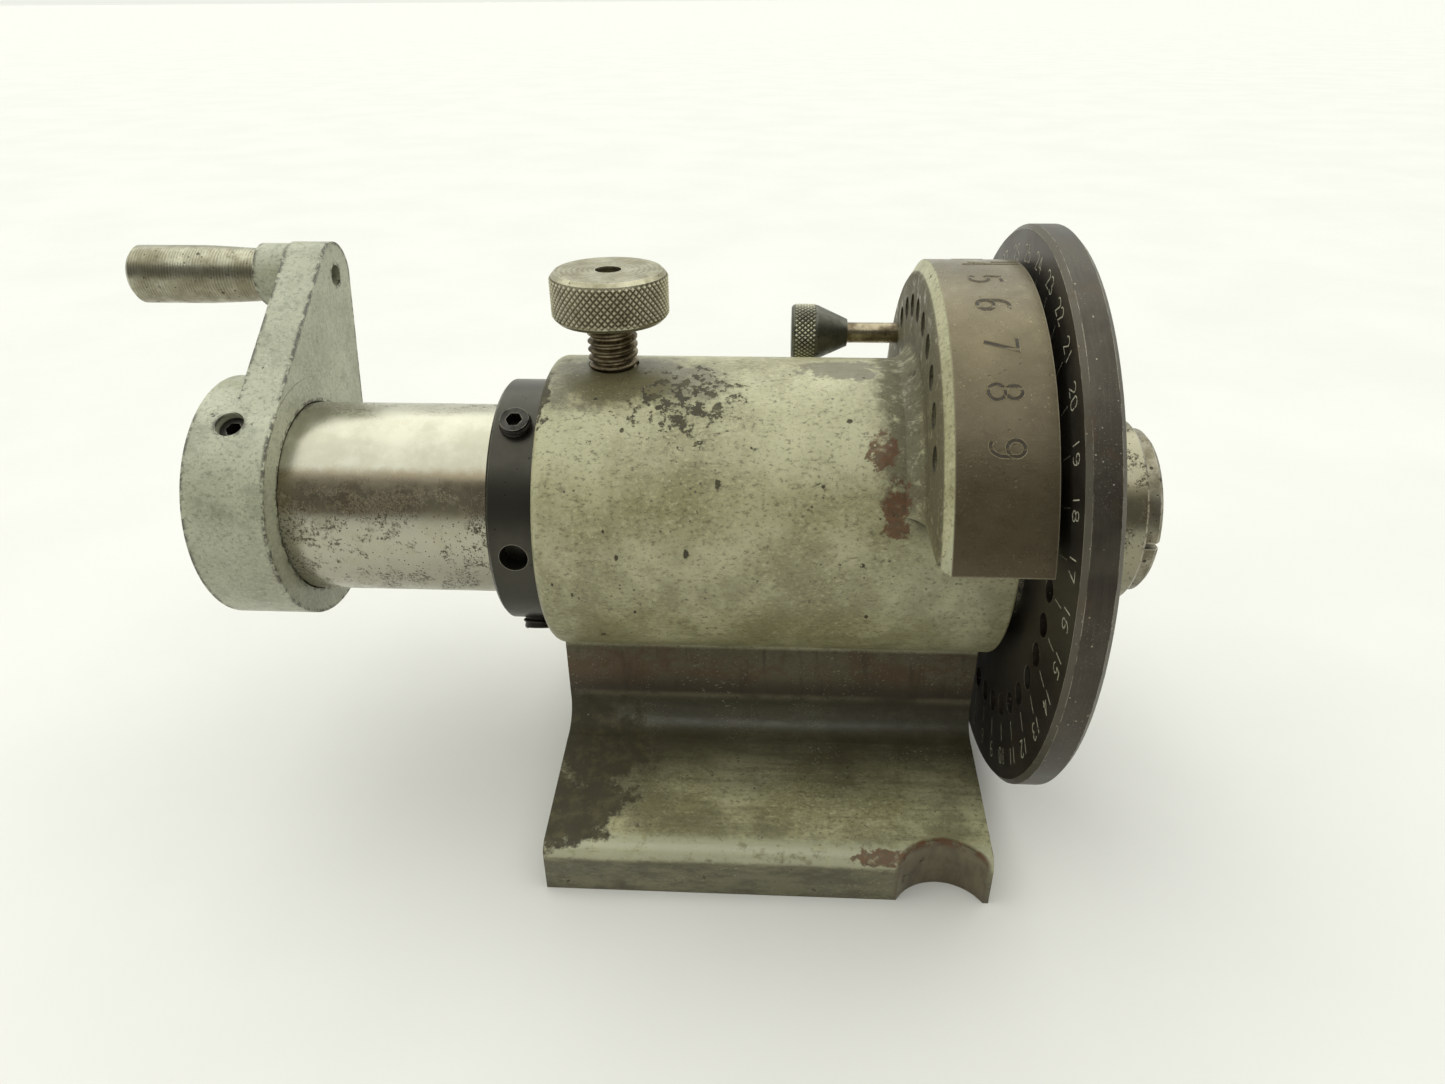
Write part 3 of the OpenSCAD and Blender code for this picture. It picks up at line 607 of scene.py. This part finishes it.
def knob_steel():
    """Turned steel of the lock knob, ringed on its top"""
    return ringed("knob_steel", rgb(186, 182, 158), rgb(140, 134, 110), middle_of("lock_knob"), 2, 1.1,
                  (0.32, 0.46), edge=rgb(214, 210, 196), seed=41)


def knurled(name, centre, axis, radius, crest, groove, top, metallic=1.0, seed=0.0):
    """Knurled metal, rubbed bright on the points and dirty in the grooves, about an axis through a point"""
    g = Graph(name, metallic=metallic)
    out = from_axis(g, centre, axis)[0]
    worn = g.mul(g.noise(2.2, 4.0, 0.6, seed=seed), 0.12)
    tone = g.blend(g.ramp(g.add(out, worn), radius + 0.02, radius + crest * 0.95), groove, top)
    tone = g.blend(g.ramp(g.noise(4, 5.0, 0.65, seed=seed + 1), 0.48, 0.68, 0.0, 0.4), tone, groove)
    rough = g.ramp(g.noise(1.2, 4.0, 0.6, seed=seed + 2), 0.3, 0.7, 0.36, 0.52)
    return g.finish(tone, rough, g.noise(0.25, 3.0, 0.6, seed=seed + 3), 0.015)


def middle_of(node):
    """The middle of a node's box, in millimetres about the spindle axis"""
    low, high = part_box(node)
    return tuple((low + high) / 2 / MM - Vector((0, 0, AXIS)))


def flat_mark(name, colour, base, cover, roughness=0.6):
    """Paint or dirt lying in a stamped mark, worn away in places"""
    g = Graph(name, roughness=roughness)
    gone = g.ramp(g.noise(0.9, 6.0, 0.75, seed=7), cover, cover + 0.08)
    tone = g.blend(gone, colour, base)
    rough = g.ramp(g.noise(0.5, 3.0, 0.6, seed=8), 0.3, 0.7, roughness - 0.1, roughness + 0.15)
    return g.finish(tone, rough, g.noise(0.3, 3.0, 0.6, seed=9), 0.01)


def plain_metals():
    """The metals that differ in tone, roughness, pits and grain alone"""
    finishes = {
        "screw_black": dict(light=rgb(70, 68, 63), dark=rgb(40, 38, 35), roughness=(0.34, 0.5), pits=0.05,
                            edge=rgb(128, 124, 112), metallic=0.8, seed=51),
        "dowel_steel": dict(light=rgb(190, 187, 178), dark=rgb(130, 126, 114), roughness=(0.22, 0.4),
                            seed=55),
        "bronze": dict(light=rgb(196, 150, 88), dark=rgb(140, 98, 54), roughness=(0.3, 0.48), seed=57),
        "collar_black": dict(light=rgb(72, 70, 62), dark=rgb(62, 60, 53), roughness=(0.29, 0.37), pits=0.04,
                             edge=rgb(140, 136, 122), metallic=0.8, stretch=(0.5, 20, 20), seed=59,
                             mottle=25.0),
        "collet_steel": dict(light=rgb(146, 141, 124), dark=rgb(110, 104, 86), roughness=(0.3, 0.46),
                             pits=0.3, edge=rgb(206, 202, 188), seed=61, mottle=4.0),
        "tube_steel": dict(light=rgb(168, 164, 150), dark=rgb(106, 98, 82), roughness=(0.3, 0.46), pits=0.15,
                           edge=rgb(200, 196, 182), seed=63),
        "stud_steel": dict(light=rgb(138, 127, 104), dark=rgb(88, 77, 60), roughness=(0.34, 0.52), pits=0.16,
                           edge=rgb(176, 168, 146), seed=65, mottle=3.0),
        "pin_knob_black": dict(light=rgb(98, 98, 88), dark=rgb(78, 77, 68), roughness=(0.34, 0.5), pits=0.1,
                               edge=rgb(150, 146, 132), metallic=0.8, seed=67, mottle=4.0),
        "pin_steel": dict(light=rgb(168, 158, 134), dark=rgb(92, 78, 58), roughness=(0.24, 0.42), pits=0.12,
                          stretch=(12, 1, 1), seed=69, mottle=5.0),
    }
    return {name: plain_metal(name, **finish) for name, finish in finishes.items()}


def make_materials():
    """Every finish by the name of the record's material slot, then those of the added marks"""
    return {
        "casting_paint": casting_paint(),
        "crank_paint": crank_paint(),
        "spindle_steel": spindle_steel(),
        "plate_black": plate_black(),
        "grip_steel": grip_steel(),
        "knob_steel": knob_steel(),
        **plain_metals(),
        "knob_knurl": knurled("knob_knurl", middle_of("lock_knob"), 2, KNOB_R, KNOB_CREST,
                              rgb(110, 103, 80), rgb(222, 217, 194), seed=71),
        "pin_knurl": knurled("pin_knurl", middle_of("index_pin_knob"), 0, PIN_KNOB_R, PIN_CREST,
                             rgb(40, 39, 33), rgb(190, 188, 168), 0.8, seed=75),
        "stamp_floor": flat_mark("stamp_floor", rgb(56, 47, 33), rgb(84, 74, 54), 0.56),
        "stamp_lip": flat_mark("stamp_lip", rgb(140, 130, 100), rgb(96, 86, 62), 0.52, 0.42),
        "mark_white": flat_mark("mark_white", rgb(190, 187, 164), rgb(72, 69, 58), 0.52, 0.6),
    }


def dress_frame(materials):
    """Gives each CAD node the finish that its slot in the record names"""
    for part in frame["record"]["subparts"]:
        mesh = frame["nodes"][part["node"]].data
        mesh.materials.clear()
        mesh.materials.append(materials[part["material_slot"]])


# ---------- added pieces ----------

def about_axis(x, radius, degrees):
    """A point in metres at a station, radius and angle about the spindle axis, from the front upward"""
    turn = math.radians(degrees)
    return Vector((x, -radius * math.cos(turn), AXIS + radius * math.sin(turn))) * MM


def add_piece(name, points, faces, body, materials, face_materials=None, smooth=False):
    """A mesh of points in metres that rides on a body and takes its finish from a slot"""
    mesh = bpy.data.meshes.new(name)
    mesh.from_pydata(points, [], faces)
    for material in materials:
        mesh.materials.append(material)
    if face_materials:
        mesh.polygons.foreach_set("material_index", face_materials)
    mesh.polygons.foreach_set("use_smooth", [smooth] * len(faces))
    mesh.update()
    piece = bpy.data.objects.new(name, mesh)
    bpy.context.scene.collection.objects.link(piece)
    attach(piece, body)
    return piece


def knurl(name, place, radius, low, high, around, depth, body, material):
    """A sleeve of diamond points, sunk into the knob at its ends. place gives a point for an angle, a
    station along the axis and a radius.
    """
    sink, wall = 0.06, 0.4
    columns = 2 * around
    step = 2 * math.pi * radius / columns
    rows = 2 * round((high - low) / step / 2 * 0.86)
    points, faces = [], []
    for row in range(rows + 1):
        along = low + (high - low) * row / rows
        for column in range(columns):
            raised = (row + column) % 2 and 0 < row < rows
            sunk = row in (0, rows)
            out = radius + (depth if raised else 0.0) - (sink if sunk else 0.0)
            points.append(place(2 * math.pi * column / columns, along, out))
    for row in range(rows):
        for column in range(columns):
            here, right = row * columns + column, row * columns + (column + 1) % columns
            above, across = here + columns, right + columns
            if (row + column) % 2:
                faces += [(here, right, above), (right, across, above)]
            else:
                faces += [(here, right, across), (here, across, above)]
    inner = len(points)
    for along in (low, high):
        for column in range(columns):
            points.append(place(2 * math.pi * column / columns, along, radius - wall))
    last = rows * columns
    for column in range(columns):
        after = (column + 1) % columns
        faces.append((after, column, inner + column, inner + after))
        faces.append((last + column, last + after, inner + columns + after, inner + columns + column))
        faces.append((inner + after, inner + column, inner + columns + column, inner + columns + after))
    return add_piece(name, points, faces, body, [material])


def thread(name, place, core, crest, pitch, low, high, body, material):
    """A right-hand rounded helical ridge between two stations that fades out at both ends"""
    steps = 28
    half = [(0.08, 1.0), (0.2, 0.72), (0.4, 0.02), (0.46, -0.3)]
    shape = [(-across, rise) for across, rise in half[::-1]] + half
    turns = (high - low) / pitch - 1
    count = round(turns * steps)
    points, faces = [], []
    for k in range(count + 1):
        fade = min(1.0, k / steps * 2, (count - k) / steps * 2)
        middle = low + pitch / 2 + pitch * k / steps
        for across, rise in shape:
            out = core + (crest - core) * (rise * fade if rise > 0 else rise)
            points.append(place(2 * math.pi * k / steps, middle + across * pitch, out))
    side = len(shape)
    for k in range(count):
        for m in range(side):
            here, after = k * side + m, k * side + (m + 1) % side
            faces.append((here, after, after + side, here + side))
    faces += [tuple(range(side))[::-1], tuple(range(count * side, (count + 1) * side))]
    return add_piece(name, points, faces, body, [material], smooth=True)


def arc(x, y, width, height, start, end, steps=14):
    """Points of an elliptical arc, in glyph units"""
    turns = [math.radians(start + (end - start) * k / steps) for k in range(steps + 1)]
    return [(x + width * math.cos(t), y + height * math.sin(t)) for t in turns]


SIX = [arc(0.5, 0.52, 0.48, 0.52, 0, 360), [(0.02, 0.6)] + arc(0.62, 1.15, 0.6, 0.85, 180, 65)]
GLYPHS = {
    "0": [arc(0.5, 1.45, 0.48, 0.55, 0, 180) + arc(0.5, 0.55, 0.48, 0.55, 180, 360) + [(0.98, 1.45)]],
    "1": [[(0.5, 0), (0.5, 2)]],
    "2": [arc(0.5, 1.5, 0.48, 0.5, 170, -30) + [(0.02, 0), (1, 0)]],
    "3": [arc(0.48, 1.5, 0.46, 0.5, 150, -90), arc(0.48, 0.5, 0.5, 0.5, 90, -150)],
    "4": [[(0.72, 0), (0.72, 2), (0.0, 0.6), (1.05, 0.6)]],
    "5": [[(0.95, 2), (0.15, 2), (0.08, 1.12)] + arc(0.47, 0.6, 0.5, 0.6, 130, -150)],
    "6": SIX,
    "7": [[(0, 2), (1, 2), (0.4, 0)]],
    "8": [arc(0.5, 1.5, 0.42, 0.5, 0, 360), arc(0.5, 0.5, 0.5, 0.5, 0, 360)],
    "9": [[(1 - x, 2 - y) for x, y in line] for line in SIX],
}


def subdivided(line, reach):
    """The line with extra points, so that no step is longer than reach"""
    made = [line[0]]
    for (x0, y0), (x1, y1) in zip(line, line[1:]):
        steps = max(1, math.ceil(math.hypot(x1 - x0, y1 - y0) / reach))
        made += [(x0 + (x1 - x0) * k / steps, y0 + (y1 - y0) * k / steps) for k in range(1, steps + 1)]
    return made


def stroke(line, profile, place, points, faces, face_materials):
    """Sweeps a closed profile of (offset, height, material) along a line of glyph points in millimetres"""
    line = subdivided(line, 0.6)
    start = len(points)
    for k, (x, y) in enumerate(line):
        before, after = line[max(k - 1, 0)], line[min(k + 1, len(line) - 1)]
        run = Vector((after[0] - before[0], after[1] - before[1])).normalized()
        inward = Vector((x - before[0], y - before[1]))
        outward = Vector((after[0] - x, after[1] - y))
        bend = 1.0
        if inward.length > 1e-9 and outward.length > 1e-9:
            half = inward.normalized().dot(outward.normalized())
            bend = 1 / max(math.sqrt(max((1 + half) / 2, 0)), 0.6)
        for offset, height, _ in profile:
            points.append(place(x - run.y * offset * bend, y + run.x * offset * bend, height))
    side = len(profile)
    for k in range(len(line) - 1):
        for m in range(side):
            here, after = start + k * side + m, start + k * side + (m + 1) % side
            faces.append((here, here + side, after + side, after))
            face_materials.append(profile[m][2])
    last = start + (len(line) - 1) * side
    faces += [tuple(range(start, start + side)), tuple(range(last, last + side))[::-1]]
    face_materials += [0, 0]


def stamped_profile(half, lip):
    """A flat sunken floor between two raised lips of pushed-up metal, closed below the surface"""
    return [(half + lip, -0.08, 1), (half + lip * 0.5, 0.1, 1), (half, 0.012, 0), (-half, 0.012, 1),
            (-half - lip * 0.5, 0.1, 1), (-half - lip, -0.08, 0)]


def inked_profile(half):
    return [(half, -0.05, 0), (half, 0.02, 0), (-half, 0.02, 0), (-half, -0.05, 0)]


def rim_digits(materials):
    """The stamped numbers 0 to 9 on the segment's rim, one at each hole, with their tops toward the nose"""
    centre_x, width, tall = SEGMENT_X + 11.3, 3.2, 6.2
    for value in range(10):
        hole = ZERO_ANGLE - value * SEGMENT_STEP
        jitter = random.uniform(-0.35, 0.35)

        def place(x, y, height):
            around = hole - math.degrees((x - width / 2 + jitter) / SEGMENT_R)
            return about_axis(centre_x - tall / 2 + y, SEGMENT_R + height, around)

        points, faces, kinds = [], [], []
        for line in GLYPHS[str(value)]:
            scaled = [(x * width, y * tall / 2) for x, y in line]
            stroke(scaled, stamped_profile(0.32, 0.2), place, points, faces, kinds)
        add_piece(f"rim_digit_{value}", points, faces, "base",
                  [materials["stamp_floor"], materials["stamp_lip"]], kinds)


def witness_lines(materials):
    """Two short lines near the rim's front edge"""
    points, faces, kinds = [], [], []
    for angle in (92.2, 94.6):
        def place(x, y, height):
            return about_axis(CAST_HIGH.x - 6 + y, SEGMENT_R + height, angle + math.degrees(x / SEGMENT_R))

        line = [(0.0, 5.4 * k / 6) for k in range(7)]
        stroke(line, stamped_profile(0.14, 0.1), place, points, faces, kinds)
    add_piece("rim_witness_lines", points, faces, "base",
              [materials["stamp_floor"], materials["stamp_lip"]], kinds)


def plate_marks(materials):
    """White numbers 1 to 36 on the plate's rear face, and a short line between each number and its hole"""
    radius, width, tall = 57.6, 1.95, 3.5
    inner, length = 50.2, 4.0
    for number in range(1, PLATE_HOLES + 1):
        middle = NINETEEN_ANGLE + (number - 19) * PLATE_STEP + random.uniform(-0.5, 0.5)
        text = str(number)
        points, faces, kinds = [], [], []
        for k, sign in enumerate(text):
            aside = (k - (len(text) - 1) / 2) * width * 1.45

            def place(x, y, height):
                out = radius - tall / 2 + y
                around = middle - math.degrees((x - width / 2 + aside) / radius)
                return about_axis(PLATE_X - height, out, around)

            for line in GLYPHS[sign]:
                scaled = [(x * width, y * tall / 2) for x, y in line]
                stroke(scaled, inked_profile(0.13), place, points, faces, kinds)
        add_piece(f"plate_number_{number}", points, faces, "spindle_body",
                  [materials["mark_white"]], kinds)
    points, faces, kinds = [], [], []
    for number in range(PLATE_HOLES):
        middle = NINETEEN_ANGLE + number * PLATE_STEP

        def place(x, y, height):
            return about_axis(PLATE_X - height, inner + y, middle + math.degrees(x / 52))

        stroke([(0.0, 0.0), (0.0, length)], inked_profile(0.09), place, points, faces, kinds)
    add_piece("plate_scribe_lines", points, faces, "spindle_body", [materials["mark_white"]],
              kinds)


def lock_details(materials):
    """The lock knob's knurl and the thread of its screw"""
    def place(angle, along, radius):
        return Vector((LOCK_X + radius * math.cos(angle), radius * math.sin(angle), along)) * MM

    knurl("lock_knob_knurl", place, KNOB_R, KNOB_LOW.z + 0.75, KNOB_HIGH.z - 0.75, 56, KNOB_CREST,
          "lock", materials["knob_knurl"])
    core, crest = (SCREW_HIGH.x - SCREW_LOW.x) / 2, 5.5
    thread("lock_screw_thread", place, core, crest, LOCK_PITCH, SCREW_LOW.z + 0.2, KNOB_LOW.z - 1.2,
           "lock", materials["stud_steel"])


def pin_details(materials):
    """The index pin knob's knurled band"""
    middle_y = (PIN_KNOB_LOW.y + PIN_KNOB_HIGH.y) / 2
    middle_z = (PIN_KNOB_LOW.z + PIN_KNOB_HIGH.z) / 2

    def place(angle, along, radius):
        across, up = radius * math.cos(angle), radius * math.sin(angle)
        return Vector((along, middle_y + across, middle_z + up)) * MM

    knurl("index_pin_knurl", place, PIN_KNOB_R, PIN_KNOB_LOW.x + 0.5, PIN_KNOB_LOW.x + 6.2, 36, PIN_CREST,
          "index_pin", materials["pin_knurl"])


def collar_screw_threads(materials):
    """The thread on the part of each set screw that stands out of the collar"""
    middle_x, core = (SET_LOW.x + SET_HIGH.x) / 2, (SET_HIGH.x - SET_LOW.x) / 2
    low, high, pitch = COLLAR_HIGH.z - AXIS - 0.6, 31.2, 1.25
    for k, degrees in enumerate((60, 180, 300)):
        turn = math.radians(degrees)
        outward = Vector((0, -math.cos(turn), math.sin(turn)))
        side = Vector((0, -math.sin(turn), -math.cos(turn)))

        def place(angle, along, radius):
            offset = Vector((1, 0, 0)) * radius * math.cos(angle) + side * radius * math.sin(angle)
            return (Vector((middle_x, 0, AXIS)) + outward * along + offset) * MM

        thread(f"collar_screw_thread_{k + 1}", place, core - 0.02, core + 0.45, pitch, low, high,
               "spindle_body", materials["screw_black"])


# ---------- studio ----------

def floor():
    """A plain pale surface that reaches past the horizon of any view"""
    g = Graph("studio_floor", roughness=0.55)
    broad = g.noise(90, 3.0, 0.5, seed=3)
    fine = g.noise(3, 4.0, 0.7, seed=5)
    tone = g.blend(g.ramp(broad, 0.3, 0.7), rgb(224, 223, 220), rgb(228, 227, 224))
    g.finish(tone, g.ramp(fine, 0.3, 0.7, 0.5, 0.62), fine, 0.02)
    reach = 400.0
    mesh = bpy.data.meshes.new("studio_floor")
    corners = [(-reach, -reach, 0), (reach, -reach, 0), (reach, reach, 0), (-reach, reach, 0)]
    mesh.from_pydata(corners, [], [(0, 1, 2, 3)])
    mesh.materials.append(g.material)
    plane = bpy.data.objects.new("studio_floor", mesh)
    bpy.context.scene.collection.objects.link(plane)


def world():
    """Light from a white studio behind and a dim room in front, and an even pale background to look at"""
    dim, bright, background = 0.21, 0.95, 0.93
    dim_side = (0.0, -0.87, 0.5)
    made = bpy.data.worlds.new("studio")
    bpy.context.scene.world = made
    made.use_nodes = True
    tree = made.node_tree
    back = tree.nodes["Background"]
    direction = tree.nodes.new("ShaderNodeTexCoord").outputs["Generated"]
    toward = tree.nodes.new("ShaderNodeVectorMath")
    toward.operation = "DOT_PRODUCT"
    toward.inputs[1].default_value = dim_side
    tree.links.new(direction, toward.inputs[0])
    share = tree.nodes.new("ShaderNodeMapRange")
    share.interpolation_type = "SMOOTHSTEP"
    share.inputs["From Min"].default_value = -0.5
    share.inputs["From Max"].default_value = 0.93
    share.inputs["To Min"].default_value = bright
    share.inputs["To Max"].default_value = dim
    tree.links.new(toward.outputs["Value"], share.inputs["Value"])
    seen = tree.nodes.new("ShaderNodeLightPath").outputs["Is Camera Ray"]
    plain = tree.nodes.new("ShaderNodeMix")
    plain.inputs["B"].default_value = background
    tree.links.new(seen, plain.inputs["Factor"])
    tree.links.new(share.outputs[0], plain.inputs["A"])
    tree.links.new(plain.outputs["Result"], back.inputs["Strength"])
    back.inputs["Color"].default_value = rgb(248, 250, 241)


def broad_light():
    """One very wide soft light, high and a little behind the object, that lights the whole floor evenly"""
    light = bpy.data.lights.new("broad", "SUN")
    light.energy = 2.5
    light.angle = math.radians(102)
    light.color = (0.985, 1.0, 0.945)
    made = bpy.data.objects.new("broad", light)
    made.rotation_euler = Vector((0.06, -0.13, -1.0)).to_track_quat("-Z", "Y").to_euler()
    bpy.context.scene.collection.objects.link(made)


def camera():
    """The photograph's viewpoint: a short lens close above the front"""
    yaw, pitch, roll = 0.05417, 0.51236, -0.00691
    place = (-0.000929, -0.205275, 0.174603)
    ahead = Vector((-math.sin(yaw) * math.cos(pitch), math.cos(yaw) * math.cos(pitch), -math.sin(pitch)))
    level = Vector((math.cos(yaw), math.sin(yaw), 0))
    upright = level.cross(ahead)
    right = math.cos(roll) * level + math.sin(roll) * upright
    up = math.cos(roll) * upright - math.sin(roll) * level
    lens = bpy.data.cameras.new("camera")
    lens.lens = 24.0
    lens.sensor_width = 36.0
    lens.clip_start = 0.01
    lens.clip_end = 1000.0
    made = bpy.data.objects.new("camera", lens)
    turn = Matrix((right, up, -ahead)).transposed().to_4x4()
    made.matrix_world = Matrix.Translation(place) @ turn
    bpy.context.scene.collection.objects.link(made)
    bpy.context.scene.camera = made


def studio():
    """Floor, light, surroundings and camera"""
    bpy.context.scene.view_settings.view_transform = "Standard"
    floor()
    world()
    broad_light()
    camera()


materials = make_materials()
dress_frame(materials)
rim_digits(materials)
witness_lines(materials)
plate_marks(materials)
lock_details(materials)
pin_details(materials)
collar_screw_threads(materials)
studio()
